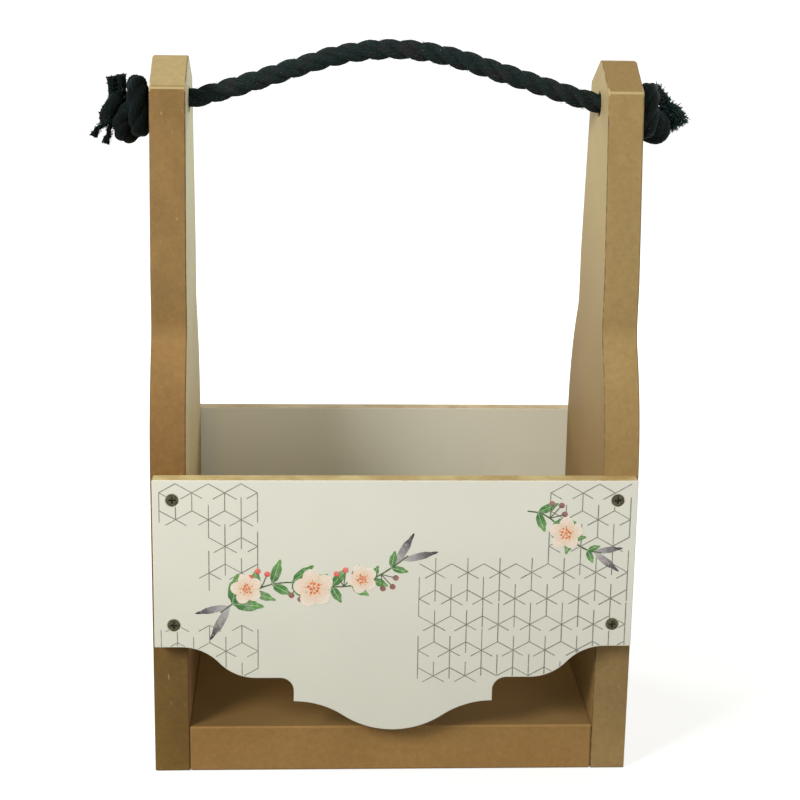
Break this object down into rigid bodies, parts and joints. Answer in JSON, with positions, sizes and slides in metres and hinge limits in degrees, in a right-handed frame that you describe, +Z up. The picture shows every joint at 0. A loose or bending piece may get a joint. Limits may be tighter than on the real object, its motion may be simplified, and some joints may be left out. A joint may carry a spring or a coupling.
{
  "type": "wooden bottle carrier box",
  "caption": "Open-topped wooden gift box for bottles: gabled side boards, scalloped front panel, plain back panel, base board and a knotted rope handle.",
  "frame": {"origin": "centre of the underside, on the surface that the box stands on", "axes": "+X to the right across the scalloped front, -Y out of the front, +Z up towards the rope handle"},
  "size_m": [0.3073, 0.152, 0.3721],
  "materials": {
    "bare_board": "bare fibreboard, matte, with darker sawn edges",
    "coated_panel": "off-white coating with a light sheen on a thin board with raw tan edges",
    "screw_steel": "dark coated screws, satin",
    "dark_rope": "dark blue-green twisted cord, matte"
  },
  "bodies": {
    "box": {"left_side_board": "bare_board", "right_side_board": "bare_board", "base_board": "bare_board", "front_panel": "coated_panel", "back_panel": "coated_panel", "front_panel_screws": "screw_steel", "back_panel_screws": "screw_steel", "left_base_screws": "screw_steel", "right_base_screws": "screw_steel"},
    "handle": {"handle_rope": "dark_rope", "left_knot": "dark_rope", "right_knot": "dark_rope"}
  },
  "joints": [
    {"name": "handle_swing", "type": "hinge", "parent": "box", "child": "handle", "pos_m": [0, 0, 0.341], "axis": [1, 0, 0], "continuous": true}
  ]
}
